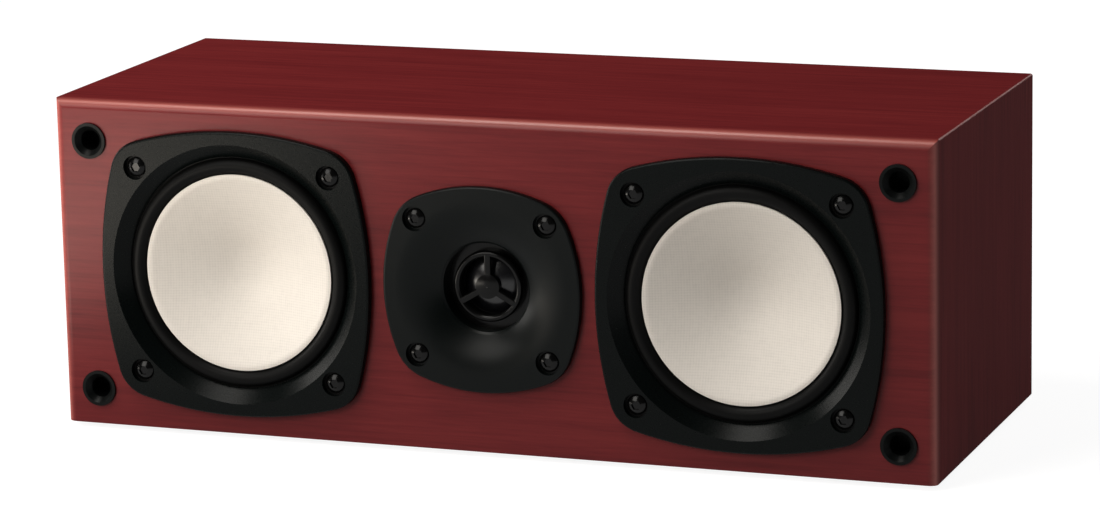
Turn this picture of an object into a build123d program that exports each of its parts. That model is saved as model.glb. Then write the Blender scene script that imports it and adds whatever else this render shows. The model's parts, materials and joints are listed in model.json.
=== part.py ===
from build123d import *
import os
from math import cos, radians, sin, sqrt, tan

# Two-way centre loudspeaker, in millimetres: +Z up, the front faces -Y, +X is right seen from the front.
# The origin is the middle of its box on the surface that it stands on.
# Depths inside a driver are counted from the front of the baffle, positive into the cabinet.

# Cabinet
CABINET_DEPTH = 125.0
WALL = 12.0
BAFFLE_THICKNESS = 15.0
BACK_THICKNESS = 12.0
FRONT_EDGE_RADIUS = 3.5
LONG_EDGE_RADIUS = 0.8
FRAME_GAP = 5.1
SIDE_MARGIN = 17.4
TOP_MARGIN = 8.6
BOTTOM_MARGIN = 6.8
FOOT_RADIUS = 6.0
FOOT_HEIGHT = 2.0
FOOT_CHAMFER = 0.5
FOOT_INSET = 20.0

# Fits
GLUE_GAP = 0.05
ASSEMBLY_GAP = 0.2
HOLE_GAP = 0.8

# Woofer: diaphragm and suspension
CONE_RADIUS = 34.4
CONE_LIP = 1.2
CONE_SLOPE = 21.0
CONE_BOWL_RADIUS = 26.5
CONE_THICKNESS = 0.8
CONE_NECK_LENGTH = 5.0
CONE_NECK_WALL = 0.75
ROLL_RADIUS = 2.8
ROLL_WALL = 0.6
ROLL_GAP = 0.3
COIL_RADIUS = 12.5
FORMER_WALL = 0.4
WINDING_THICKNESS = 0.7
WINDING_LENGTH = 8.0
SPIDER_WALL = 0.4
SPIDER_WAVE = 0.5
SPIDER_WAVES = 5
SPIDER_GAP = 0.3

# Woofer: frame, basket and motor
FRAME_PROUD = 2.8
FRAME_EDGE_RADIUS = 0.8
FRAME_FLANGE_WIDTH = 4.4
FRAME_BOW_RADIUS = 136.0
FRAME_CORNER_RADIUS = 12.5
FRAME_SKIRT = 1.5
BEVEL_WIDTH = 4.8
BEVEL_DEPTH = 4.1
COLLAR_WALL = 4.0
COLLAR_DEPTH = 1.9
BASKET_SHEET = 1.0
BASKET_WALL = 1.2
SPIDER_CLEARANCE = 5.8
BASKET_CUP_DEPTH = 6.4
SPIDER_LEDGE_WIDTH = 7.2
BASKET_CUP_RADIUS = 25.4
BASKET_WINDOWS = 6
BASKET_WINDOW_ANGLE = 40.0
BASKET_WINDOW_MARGIN = 3.0
TOP_PLATE_RADIUS = 30.0
TOP_PLATE_THICKNESS = 5.0
COIL_GAP = 0.5
MAGNET_RADIUS = 34.0
MAGNET_THICKNESS = 12.0
MAGNET_BORE_GAP = 3.3
YOKE_THICKNESS = 5.0
BUCKING_RADIUS = 28.0
BUCKING_THICKNESS = 8.0
CAN_GAP = 1.5
CAN_WALL = 1.0
CAN_RIM_SETBACK = 1.0
POLE_RISE = 1.0
TAG_WIDTH = 16.0
TAG_THICKNESS = 1.2
TAG_LENGTH = 4.8
TAB_PITCH = 8.0
TAB_WIDTH = 2.8
TAB_THICKNESS = 0.6
TAB_LENGTH = 3.0

# Screws of the drivers
SCREW_HEAD_RADIUS = 3.4
SCREW_HEAD_HEIGHT = 1.6
SCREW_HEAD_EDGE = 0.5
SCREW_SOCKET_ACROSS = 3.0
SCREW_SOCKET_DEPTH = 0.9
SCREW_SHANK_RADIUS = 1.9
SCREW_LENGTH = 13.0
SCREW_COUNTERBORE_GAP = 0.85
SCREW_RECESS = 0.2
FRAME_SCREW_MARGIN = 5.3
PLATE_SCREW_MARGIN = 2.2

# Tweeter
DOME_RADIUS = 10.0
DOME_HEIGHT = 2.8
DOME_WALL = 0.3
DOME_GUARD_GAP = 0.9
PLATE_PROUD = 2.5
PLATE_EDGE_RADIUS = 0.8
PLATE_FLANGE_WIDTH = 4.5
PLATE_BOW_RADIUS = 62.0
PLATE_CORNER_RADIUS = 15.0
HORN_MOUTH_WIDTH = 15.5
HORN_DEPTH = 4.5
HORN_WALL = 2.0
THROAT_EDGE = 0.7
THROAT_DEPTH = 6.5
THROAT_WALL = 1.0
GUARD_RING_WIDTH = 2.2
GUARD_RING_GAP = 0.5
GUARD_GROOVE_WIDTH = 3.1
GUARD_RING_HEIGHT = 4.5
GUARD_BASE_HEIGHT = 0.8
GUARD_SPOKES = 3
GUARD_SPOKE_WIDTH = 2.4
GUARD_SPOKE_HEIGHT = 1.5
GUARD_SPOKE_EDGE = 0.6
GUARD_HUB_RADIUS = 4.2
GUARD_HUB_CROWN = 0.5
PLATE_HUB_WALL = 3.5
SUSPENSION_WALL = 0.3
SUSPENSION_ROLL = 0.9
DOME_COIL_WALL = 0.5
DOME_COIL_LENGTH = 5.5
DOME_COIL_GAP = 0.45
DOME_PLATE_RADIUS = 21.0
DOME_PLATE_THICKNESS = 3.0
DOME_MAGNET_RADIUS = 24.0
DOME_MAGNET_BORE_GAP = 3.0
DOME_MAGNET_THICKNESS = 8.0
DOME_YOKE_THICKNESS = 4.0
DOME_CAN_GAP = 1.0

# Grille sockets
SOCKET_BORE_RADIUS = 3.5
SOCKET_WALL = 1.5
SOCKET_FLANGE_WIDTH = 1.25
SOCKET_FLANGE_HEIGHT = 0.8
SOCKET_FUNNEL_WIDTH = 1.7
SOCKET_FUNNEL_DEPTH = 2.0
SOCKET_DEPTH = 12.0
SOCKET_SIDE_GAP = 4.3
SOCKET_DROP = 5.9

# Rear: port and spring terminal
PORT_RADIUS = 15.5
PORT_WALL = 2.0
PORT_LENGTH = 55.0
PORT_FLANGE_WIDTH = 5.5
PORT_FLANGE_HEIGHT = 2.5
PORT_FLARE = 3.0
PORT_EDGE_RADIUS = 1.0
TERMINAL_INSET = 77.5
CUP_WIDTH = 48.0
CUP_HEIGHT = 34.0
CUP_DEPTH = 17.0
CUP_WALL = 1.6
CUP_FLOOR = 2.0
CUP_CORNER_RADIUS = 3.0
CUP_FLANGE_WIDTH = 8.0
CUP_FLANGE_HEIGHT = 2.5
CUP_EDGE_RADIUS = 0.8
CUP_SCREW_RADIUS = 1.4
CUP_SCREW_HEAD_RADIUS = 2.6
CUP_SCREW_HEAD_HEIGHT = 1.2
CUP_SCREW_LENGTH = 8.0
CUP_SCREW_HEAD_EDGE = 0.2
CUP_SCREW_CROSS = 2.8
CUP_SCREW_CROSS_WIDTH = 0.7
CUP_SCREW_CROSS_DEPTH = 0.7
LEVER_WIDTH = 17.0
LEVER_LENGTH = 18.0
LEVER_THICKNESS = 2.6
LEVER_LEAN = 14.0
LEVER_HUB_RADIUS = 2.4
LEVER_PIN_RADIUS = 1.2
LEVER_PIN_GAP = 0.3
LEVER_SIDE_GAP = 0.5
LEVER_HINGE_HEIGHT = 8.0
LEVER_HINGE_RISE = 10.0
LEVER_TAB_LIP = 1.6
EAR_THICKNESS = 2.4
EAR_RADIUS = 3.2
WIRE_HOLE_RADIUS = 2.5
WIRE_HOLE_DROP = 11.0
CONTACT_WIDTH = 6.0
CONTACT_THICKNESS = 0.6
CONTACT_LEAF = 12.0
CONTACT_TAIL = 9.0

# Inside: crossover and damping
CROSSOVER_INSET = 75.5
BOARD_WIDTH = 70.0
BOARD_HEIGHT = 52.0
BOARD_THICKNESS = 1.6
SPACER_RADIUS = 3.0
SPACER_LENGTH = 5.0
SPACER_INSET = 5.0
INDUCTOR_RADIUS = 13.0
INDUCTOR_BORE = 6.0
INDUCTOR_HEIGHT = 14.0
INDUCTOR_FLANGE = 1.5
CAPACITOR_RADIUS = 7.0
CAPACITOR_LENGTH = 20.0
CAPACITOR_PITCH = 18.0
PAD_THICKNESS = 8.0
PAD_DEPTH = 40.0
PAD_END_GAP = 10.0

# Derived: woofer radii, from the cone outwards
ROLL_CENTRE = CONE_RADIUS + ROLL_GAP + ROLL_RADIUS
COLLAR_INNER = ROLL_CENTRE + ROLL_RADIUS + ROLL_GAP
COLLAR_OUTER = COLLAR_INNER + COLLAR_WALL
FRAME_OPENING = COLLAR_INNER + BEVEL_WIDTH
WOOFER_HALF = FRAME_OPENING + FRAME_FLANGE_WIDTH
BASKET_INNER = COLLAR_OUTER + ASSEMBLY_GAP
BASKET_OUTER = BASKET_INNER + BASKET_WALL
WOOFER_HOLE = BASKET_OUTER + HOLE_GAP
WOOFER_SCREW = (FRAME_OPENING + FRAME_SCREW_MARGIN) / sqrt(2)
SPIDER_LEDGE_RADIUS = BASKET_CUP_RADIUS + SPIDER_LEDGE_WIDTH

# Derived: woofer depths
CONE_BACK_RIM = COLLAR_DEPTH
CONE_FRONT_RIM = CONE_BACK_RIM - CONE_THICKNESS
LEDGE_DEPTH = COLLAR_DEPTH + ROLL_WALL
CONE_FLANK = CONE_RADIUS - CONE_LIP - COIL_RADIUS
NECK_START = CONE_BACK_RIM + CONE_FLANK * tan(radians(CONE_SLOPE))
NECK_END = NECK_START + CONE_NECK_LENGTH
SPIDER_LEDGE_DEPTH = NECK_END + SPIDER_CLEARANCE
BASKET_DEPTH = SPIDER_LEDGE_DEPTH + BASKET_CUP_DEPTH
TOP_PLATE_BACK = BASKET_DEPTH + TOP_PLATE_THICKNESS
MAGNET_BACK = TOP_PLATE_BACK + MAGNET_THICKNESS
YOKE_BACK = MAGNET_BACK + YOKE_THICKNESS
BUCKING_BACK = YOKE_BACK + BUCKING_THICKNESS
GAP_MIDDLE = BASKET_DEPTH + TOP_PLATE_THICKNESS / 2
MAGNET_BORE = COIL_RADIUS + WINDING_THICKNESS + COIL_GAP + MAGNET_BORE_GAP
POLE_RADIUS = COIL_RADIUS - FORMER_WALL - COIL_GAP
GAP_RADIUS = COIL_RADIUS + WINDING_THICKNESS + COIL_GAP

# Derived: tweeter radii and depths, from the dome outwards
GUARD_INNER = DOME_RADIUS + 2 * SUSPENSION_ROLL - GUARD_RING_WIDTH + GUARD_RING_GAP
GUARD_OUTER = GUARD_INNER + GUARD_RING_WIDTH
THROAT_RADIUS = GUARD_OUTER + GUARD_GROOVE_WIDTH
HORN_INNER = THROAT_RADIUS + THROAT_EDGE
HORN_OUTER = HORN_INNER + HORN_MOUTH_WIDTH - THROAT_EDGE
TWEETER_HALF = HORN_OUTER + PLATE_FLANGE_WIDTH
TWEETER_SCREW = (HORN_OUTER + PLATE_SCREW_MARGIN) / sqrt(2)
TWEETER_SCREW_SEAT = SCREW_RECESS + SCREW_HEAD_HEIGHT - PLATE_PROUD
THROAT_FLOOR = HORN_DEPTH - PLATE_PROUD + THROAT_DEPTH
GUARD_FRONT = THROAT_FLOOR - GUARD_RING_HEIGHT
DOME_ROOM = DOME_GUARD_GAP + DOME_HEIGHT + DOME_WALL
PLATE_HUB_BACK = max(GUARD_FRONT + GUARD_SPOKE_HEIGHT + DOME_ROOM, THROAT_FLOOR + THROAT_WALL)
PLATE_HUB_RADIUS = THROAT_RADIUS + PLATE_HUB_WALL
SUSPENSION_BACK = PLATE_HUB_BACK + SUSPENSION_WALL
DOME_PLATE_BACK = SUSPENSION_BACK + DOME_PLATE_THICKNESS
DOME_MAGNET_BACK = DOME_PLATE_BACK + DOME_MAGNET_THICKNESS
DOME_YOKE_BACK = DOME_MAGNET_BACK + DOME_YOKE_THICKNESS
DOME_GAP_RADIUS = DOME_RADIUS + DOME_COIL_GAP
DOME_POLE_RADIUS = DOME_RADIUS - DOME_COIL_WALL - DOME_COIL_GAP
DOME_CAN_OUTER = DOME_MAGNET_RADIUS + DOME_CAN_GAP + CAN_WALL
TWEETER_HOLE = max(DOME_CAN_OUTER, PLATE_HUB_RADIUS) + HOLE_GAP

# Derived: layout of the front and the cabinet round it
WOOFER_OFFSET = TWEETER_HALF + FRAME_GAP + WOOFER_HALF
CABINET_WIDTH = 2 * (WOOFER_OFFSET + WOOFER_HALF + SIDE_MARGIN)
CABINET_HEIGHT = BOTTOM_MARGIN + 2 * WOOFER_HALF + TOP_MARGIN
AXIS_HEIGHT = FOOT_HEIGHT + BOTTOM_MARGIN + WOOFER_HALF
MIDDLE_HEIGHT = FOOT_HEIGHT + CABINET_HEIGHT / 2
SOCKET_OFFSET = WOOFER_OFFSET + WOOFER_HALF + SOCKET_SIDE_GAP
SOCKET_RISE = WOOFER_HALF - SOCKET_DROP
SOCKET_OUTER = SOCKET_BORE_RADIUS + SOCKET_WALL
TERMINAL_OFFSET = CABINET_WIDTH / 2 - TERMINAL_INSET
CROSSOVER_OFFSET = CABINET_WIDTH / 2 - CROSSOVER_INSET
REAR_PROUD = max(PORT_FLANGE_HEIGHT, CUP_FLANGE_HEIGHT + CUP_SCREW_HEAD_HEIGHT)
FRONT_PROUD = max(FRAME_PROUD, PLATE_PROUD)
BAFFLE_FRONT = (FRONT_PROUD - CABINET_DEPTH - REAR_PROUD) / 2
BACK_FACE = BAFFLE_FRONT + CABINET_DEPTH
BACK_INSIDE = BACK_FACE - BACK_THICKNESS
INWARD = (0, 1, 0)


def turned(points):
    """Solid turned about the Y axis from a closed outline of (radius, depth) points."""
    return revolve(make_face(Polyline(*points, close=True)), Axis.Y)


def ring(inner, outer, near, far):
    """Plain ring between two radii and two depths; an inner radius of zero makes a disc."""
    return turned([(inner, near), (outer, near), (outer, far), (inner, far)])


def plate(outline, near, far):
    """Outline drawn in the front plane, given thickness between two depths."""
    return extrude(Plane.XZ.offset(-near) * outline, amount=far - near, dir=INWARD)


def bowed_square(half, bow_radius, corner_radius):
    """Square whose four sides bow outwards as arcs, with rounded corners."""
    reach = bow_radius - half
    corner = (sqrt(2 * bow_radius**2 - reach**2) - reach) / 2
    side = ThreePointArc((corner, -corner), (half, 0), (corner, corner))
    outline = make_face([side.rotate(Axis.Z, 90 * k) for k in range(4)])
    return fillet(outline.vertices(), corner_radius)


def corners(across, up):
    """Four places at plus and minus a distance across and up, in the front plane."""
    return [(i * across, j * up) for i in (-1, 1) for j in (-1, 1)]


def at_corners(piece, offset):
    """Four copies of a piece at the corners of a square in the front plane."""
    return [Pos(x, 0, z) * piece for x, z in corners(offset, offset)]


def crown_arc(radius, edge, top):
    """Spherical crown in section, from its top on the axis to its edge at a radius."""
    rise = top - edge
    sphere = (radius**2 + rise**2) / (2 * abs(rise))
    drop = (sphere - sqrt(sphere**2 - radius**2 / 4)) / abs(rise)
    return ThreePointArc((0, top), (radius / 2, top - drop * rise), (radius, edge))


def screw(seat, length):
    """Domed socket screw along Y with its head's underside at the seat depth."""
    top = seat - SCREW_HEAD_HEIGHT
    edge = seat - SCREW_HEAD_EDGE
    crown = crown_arc(SCREW_HEAD_RADIUS, edge, top)
    rest = Polyline(
        (SCREW_HEAD_RADIUS, edge),
        (SCREW_HEAD_RADIUS, seat),
        (SCREW_SHANK_RADIUS, seat),
        (SCREW_SHANK_RADIUS, seat + length - SCREW_SHANK_RADIUS),
        (0, seat + length),
        (0, top),
    )
    socket = RegularPolygon(SCREW_SOCKET_ACROSS / 2, 6, major_radius=False)
    blank = revolve(make_face([crown, rest]), Axis.Y)
    return blank - plate(socket, top, top + SCREW_SOCKET_DEPTH)


# Cabinet


def cabinet_outline():
    """Front view of the box, its long edges slightly eased."""
    return RectangleRounded(CABINET_WIDTH, CABINET_HEIGHT, LONG_EDGE_RADIUS)


def front_baffle():
    """Full-face board with its front edges rounded at the top and the sides, and its holes."""
    far = BAFFLE_THICKNESS
    half_w = CABINET_WIDTH / 2
    half_h = CABINET_HEIGHT / 2
    board = plate(cabinet_outline(), 0, far)
    plan = Pos(0, far / 2) * Rectangle(CABINET_WIDTH, far)
    front_ends = plan.vertices().group_by(Axis.Y)[0]
    plan = fillet(front_ends, FRONT_EDGE_RADIUS)
    board &= extrude(plan, amount=half_h, both=True)
    side = Pos(far / 2, 0) * Rectangle(far, CABINET_HEIGHT)
    front_top = side.vertices().sort_by(Axis.X)[:2].sort_by(Axis.Y)[-1]
    side = fillet(front_top, FRONT_EDGE_RADIUS)
    board &= extrude(Plane.YZ * side, amount=half_w, both=True)
    board = Pos(0, 0, MIDDLE_HEIGHT - AXIS_HEIGHT) * board
    for x in (-WOOFER_OFFSET, WOOFER_OFFSET):
        board -= Pos(x, 0, 0) * ring(0, WOOFER_HOLE, 0, far)
        board -= pilot_holes(x, WOOFER_SCREW, SCREW_LENGTH - BASKET_SHEET)
    board -= ring(0, TWEETER_HOLE, 0, far)
    board -= pilot_holes(0, TWEETER_SCREW, SCREW_LENGTH + TWEETER_SCREW_SEAT)
    for x, z in corners(SOCKET_OFFSET, SOCKET_RISE):
        board -= Pos(x, 0, z) * ring(0, SOCKET_OUTER + GLUE_GAP, 0, far)
    return Pos(0, BAFFLE_FRONT, AXIS_HEIGHT) * board


def pilot_holes(middle, offset, depth):
    """Blind holes for the four screws of a driver whose axis stands at the middle."""
    hole = ring(0, SCREW_SHANK_RADIUS + GLUE_GAP, 0, depth)
    return [Pos(middle, 0, 0) * place for place in at_corners(hole, offset)]


def shell_panel(outer_left, outer_right, inner_right, inner_left):
    """One wall of the shell behind the baffle, mitred at both ends."""
    mitred = make_face(Polyline(outer_left, outer_right, inner_right, inner_left, close=True))
    wall = plate(cabinet_outline() & mitred, BAFFLE_THICKNESS, CABINET_DEPTH)
    return Pos(0, BAFFLE_FRONT, MIDDLE_HEIGHT) * wall


def shell_panels():
    """The four mitred walls of the shell."""
    x, z = CABINET_WIDTH / 2, CABINET_HEIGHT / 2
    u, v = x - WALL, z - WALL
    return {
        "top_panel": shell_panel((-x, z), (x, z), (u, v), (-u, v)),
        "bottom_panel": shell_panel((-x, -z), (x, -z), (u, -v), (-u, -v)),
        "left_panel": shell_panel((-x, -z), (-x, z), (-u, v), (-u, -v)),
        "right_panel": shell_panel((x, -z), (x, z), (u, v), (u, -v)),
    }


def back_panel():
    """Inset board closing the shell at the back, with the port hole and the terminal's cut-out."""
    inside = Rectangle(CABINET_WIDTH - 2 * WALL, CABINET_HEIGHT - 2 * WALL)
    board = Pos(0, 0, MIDDLE_HEIGHT) * plate(inside, BACK_INSIDE, BACK_FACE)
    port_hole = ring(0, PORT_RADIUS + PORT_WALL + GLUE_GAP, BACK_INSIDE, BACK_FACE)
    board -= Pos(0, 0, AXIS_HEIGHT) * port_hole
    board -= terminal_place() * plate(cup_outline(CUP_WALL + ASSEMBLY_GAP), -BACK_THICKNESS, 0)
    for x, z in cup_screw_places():
        pilot = ring(0, CUP_SCREW_RADIUS + GLUE_GAP, -CUP_SCREW_LENGTH + CUP_FLANGE_HEIGHT, 0)
        board -= terminal_place() * Pos(x, 0, z) * pilot
    return board


def foot_pads():
    """Four round stick-on pads under the bottom panel, on the plan of the cabinet."""
    pad = extrude(Circle(FOOT_RADIUS), amount=FOOT_HEIGHT)
    pad = chamfer(pad.edges().group_by(Axis.Z)[0], FOOT_CHAMFER)
    middle = BAFFLE_FRONT + CABINET_DEPTH / 2
    across = CABINET_WIDTH / 2 - FOOT_INSET
    along = CABINET_DEPTH / 2 - FOOT_INSET
    return [Pos(x, middle + y, 0) * pad for x, y in corners(across, along)]


def grille_socket():
    """Peg socket: a thin flange, a funnel mouth and a blind bore."""
    mouth = SOCKET_BORE_RADIUS + SOCKET_FUNNEL_WIDTH
    lip = -SOCKET_FLANGE_HEIGHT
    return turned(
        [
            (mouth, lip),
            (SOCKET_OUTER + SOCKET_FLANGE_WIDTH, lip),
            (SOCKET_OUTER + SOCKET_FLANGE_WIDTH, 0),
            (SOCKET_OUTER, 0),
            (SOCKET_OUTER, SOCKET_DEPTH),
            (0, SOCKET_DEPTH),
            (0, SOCKET_DEPTH - SOCKET_WALL),
            (SOCKET_BORE_RADIUS, SOCKET_DEPTH - SOCKET_WALL),
            (SOCKET_BORE_RADIUS, lip + SOCKET_FUNNEL_DEPTH),
        ]
    )


# Woofer


def trim_frame():
    """Moulded bowed-square frame with a bevelled opening, over the basket's flange."""
    outline = bowed_square(WOOFER_HALF, FRAME_BOW_RADIUS, FRAME_CORNER_RADIUS)
    frame = plate(outline, -FRAME_PROUD, 0)
    frame = fillet(frame.edges().group_by(Axis.Y)[0], FRAME_EDGE_RADIUS)
    frame -= plate(basket_outline(GLUE_GAP), -BASKET_SHEET, 0)
    frame += ring(0, COLLAR_OUTER, -FRAME_PROUD, COLLAR_DEPTH)
    bevel_end = BEVEL_DEPTH - FRAME_PROUD
    opening = [
        (0, -FRAME_PROUD),
        (FRAME_OPENING, -FRAME_PROUD),
        (COLLAR_INNER, bevel_end),
        (COLLAR_INNER, COLLAR_DEPTH),
        (0, COLLAR_DEPTH),
    ]
    frame -= turned(opening)
    counterbore = ring(0, SCREW_HEAD_RADIUS + SCREW_COUNTERBORE_GAP, -FRAME_PROUD, 0)
    return frame - at_corners(counterbore, WOOFER_SCREW)


def basket_outline(grow):
    """Outline of the basket's flange inside the trim frame's skirt, grown by a fit."""
    inset = FRAME_SKIRT - grow
    half = WOOFER_HALF - inset
    return bowed_square(half, FRAME_BOW_RADIUS - inset, FRAME_CORNER_RADIUS - inset)


def basket():
    """Pressed basket: flange, step for the surround, windowed cone, spider ledge and rear cup."""
    flange = plate(basket_outline(0), -BASKET_SHEET, 0)
    hole = ring(0, SCREW_SHANK_RADIUS + ASSEMBLY_GAP, -BASKET_SHEET, 0)
    flange -= at_corners(hole, WOOFER_SCREW)
    flange -= ring(0, BASKET_INNER, -BASKET_SHEET, 0)
    step = LEDGE_DEPTH + BASKET_SHEET
    ledge_back = SPIDER_LEDGE_DEPTH + BASKET_WALL
    cup_outer = BASKET_CUP_RADIUS + BASKET_WALL
    ledge_outer = SPIDER_LEDGE_RADIUS + BASKET_WALL
    bowl = [
        (BASKET_INNER, -BASKET_SHEET),
        (BASKET_OUTER, -BASKET_SHEET),
        (BASKET_OUTER, step),
        (ledge_outer, ledge_back),
        (cup_outer, ledge_back),
        (cup_outer, BASKET_DEPTH),
        (GAP_RADIUS, BASKET_DEPTH),
        (GAP_RADIUS, BASKET_DEPTH - BASKET_WALL),
        (BASKET_CUP_RADIUS, BASKET_DEPTH - BASKET_WALL),
        (BASKET_CUP_RADIUS, SPIDER_LEDGE_DEPTH),
        (SPIDER_LEDGE_RADIUS, SPIDER_LEDGE_DEPTH),
        (BASKET_OUTER - 2 * BASKET_WALL, step),
        (COLLAR_INNER, step),
        (COLLAR_INNER, LEDGE_DEPTH),
        (BASKET_INNER, LEDGE_DEPTH),
    ]
    return flange + turned(bowl) - basket_windows(step, SPIDER_LEDGE_DEPTH)


def basket_windows(near, far):
    """Openings between the spokes of the basket's cone, as sectors about its axis."""
    near += BASKET_WINDOW_MARGIN
    far -= BASKET_WINDOW_MARGIN
    inner = BASKET_CUP_RADIUS
    outline = [(inner, near), (BASKET_OUTER, near), (BASKET_OUTER, far), (inner, far)]
    sector = revolve(
        make_face(Polyline(*outline, close=True)), Axis.Y, revolution_arc=BASKET_WINDOW_ANGLE
    )
    return [sector.rotate(Axis.Y, 360 / BASKET_WINDOWS * k) for k in range(BASKET_WINDOWS)]


def surround():
    """Rubber half roll between two flat lands, one under the frame's collar, one behind the cone."""
    inner = CONE_RADIUS - CONE_LIP + GLUE_GAP
    land = Pos((inner + COLLAR_OUTER) / 2, (COLLAR_DEPTH + LEDGE_DEPTH) / 2)
    section = land * Rectangle(COLLAR_OUTER - inner, ROLL_WALL)
    section = half_roll(section, ROLL_CENTRE, LEDGE_DEPTH, ROLL_RADIUS, ROLL_WALL)
    return revolve(section, Axis.Y)


def half_roll(section, centre, depth, radius, wall):
    """Section of flat lands with a half roll of a given wall standing out to the front."""
    front = Pos(centre, depth - radius) * Rectangle(2 * radius, 2 * radius)
    section += Pos(centre, depth) * Circle(radius) & front
    return section - Pos(centre, depth) * Circle(radius - wall)


def cone_side(depth):
    """Front line of the dish from its lip to its middle: a straight flank, then a round bottom."""
    flank_end = CONE_BOWL_RADIUS * sin(radians(CONE_SLOPE))
    lip = CONE_RADIUS - CONE_LIP
    end = depth + (lip - flank_end) * tan(radians(CONE_SLOPE))
    half = radians(CONE_SLOPE / 2)
    centre = end - CONE_BOWL_RADIUS * cos(radians(CONE_SLOPE))
    middle = (CONE_BOWL_RADIUS * sin(half), centre + CONE_BOWL_RADIUS * cos(half))
    bottom = (0, centre + CONE_BOWL_RADIUS)
    flank = Polyline((CONE_RADIUS, depth), (lip, depth), (flank_end, end))
    return flank, ThreePointArc((flank_end, end), middle, bottom), bottom


def cone():
    """Thin dished diaphragm in one piece to its middle, with a neck for the voice coil behind."""
    front, front_bowl, front_end = cone_side(CONE_FRONT_RIM)
    back, back_bowl, back_end = cone_side(CONE_BACK_RIM)
    rim = Line((CONE_RADIUS, CONE_FRONT_RIM), (CONE_RADIUS, CONE_BACK_RIM))
    axis = Line(front_end, back_end)
    dish = revolve(make_face([rim, front, front_bowl, axis, back_bowl, back]), Axis.Y)
    inner = COIL_RADIUS + GLUE_GAP
    outer = inner + CONE_NECK_WALL
    return dish + ring(inner, outer, NECK_START - CONE_THICKNESS, NECK_END)


def voice_coil():
    """Thin former with its winding centred in the magnet gap."""
    inner = COIL_RADIUS - FORMER_WALL
    wound = COIL_RADIUS + WINDING_THICKNESS
    near = GAP_MIDDLE - WINDING_LENGTH / 2
    far = GAP_MIDDLE + WINDING_LENGTH / 2
    outline = [
        (inner, NECK_START + CONE_THICKNESS),
        (COIL_RADIUS, NECK_START + CONE_THICKNESS),
        (COIL_RADIUS, near),
        (wound, near),
        (wound, far),
        (COIL_RADIUS, far),
        (COIL_RADIUS, far + FORMER_WALL),
        (inner, far + FORMER_WALL),
    ]
    return turned(outline)


def spider():
    """Corrugated centring disc: alternating arcs from the voice coil to a flat land on the basket."""
    start = COIL_RADIUS + SPIDER_GAP
    first = start + 2 * SPIDER_WALL
    pitch = (BASKET_CUP_RADIUS - SPIDER_WALL - first) / SPIDER_WAVES
    land = SPIDER_LEDGE_RADIUS - ASSEMBLY_GAP

    def line(depth):
        """One face of the disc, from its inner edge to its outer edge."""
        edges = [Line((start, depth), (first, depth))]
        for k in range(SPIDER_WAVES):
            near = first + k * pitch
            crest = depth + SPIDER_WAVE * (-1) ** k
            far = near + pitch
            edges.append(ThreePointArc((near, depth), (near + pitch / 2, crest), (far, depth)))
        edges.append(Line((first + SPIDER_WAVES * pitch, depth), (land, depth)))
        return edges

    front = SPIDER_LEDGE_DEPTH - SPIDER_WALL
    back = SPIDER_LEDGE_DEPTH
    ends = [Line((r, front), (r, back)) for r in (start, land)]
    return revolve(make_face(line(front) + line(back) + ends), Axis.Y)


def yoke(pole_radius, pole_front, plate_radius, near, far):
    """Back plate of a magnet with its pole, turned as one piece."""
    return turned(
        [
            (0, pole_front),
            (pole_radius, pole_front),
            (pole_radius, near),
            (plate_radius, near),
            (plate_radius, far),
            (0, far),
        ]
    )


def can(inner, near, far):
    """Drawn shield can, open to the front, its bottom against the motor's back."""
    outer = inner + CAN_WALL
    back = far + CAN_WALL
    return turned([(inner, near), (outer, near), (outer, back), (0, back), (0, far), (inner, far)])


def tag_strip():
    """Insulating strip behind the spider ledge with two solder tabs."""
    near = SPIDER_LEDGE_DEPTH + BASKET_WALL
    far = near + TAG_THICKNESS
    middle = BASKET_CUP_RADIUS + BASKET_WALL + ASSEMBLY_GAP + TAG_LENGTH / 2
    strip = plate(Rectangle(TAG_WIDTH, TAG_LENGTH), near, far)
    tab = plate(Rectangle(TAB_WIDTH, TAB_THICKNESS), far, far + TAB_LENGTH)
    strip += [Pos(x, 0, 0) * tab for x in (-TAB_PITCH / 2, TAB_PITCH / 2)]
    return Pos(0, 0, middle) * strip


def woofer():
    """Pieces of one woofer about its own axis, depths from the baffle's front."""
    pole_front = BASKET_DEPTH - POLE_RISE
    return {
        "trim_frame": trim_frame(),
        "basket": basket(),
        "surround": surround(),
        "cone": cone(),
        "voice_coil": voice_coil(),
        "spider": spider(),
        "top_plate": ring(GAP_RADIUS, TOP_PLATE_RADIUS, BASKET_DEPTH, TOP_PLATE_BACK),
        "magnet": ring(MAGNET_BORE, MAGNET_RADIUS, TOP_PLATE_BACK, MAGNET_BACK),
        "yoke": yoke(POLE_RADIUS, pole_front, TOP_PLATE_RADIUS, MAGNET_BACK, YOKE_BACK),
        "bucking_magnet": ring(0, BUCKING_RADIUS, YOKE_BACK, BUCKING_BACK),
        "shield_can": can(MAGNET_RADIUS + CAN_GAP, BASKET_DEPTH + CAN_RIM_SETBACK, BUCKING_BACK),
        "tag_strip": tag_strip(),
        "screws": Part() + at_corners(screw(-BASKET_SHEET, SCREW_LENGTH), WOOFER_SCREW),
    }


# Tweeter


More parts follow.
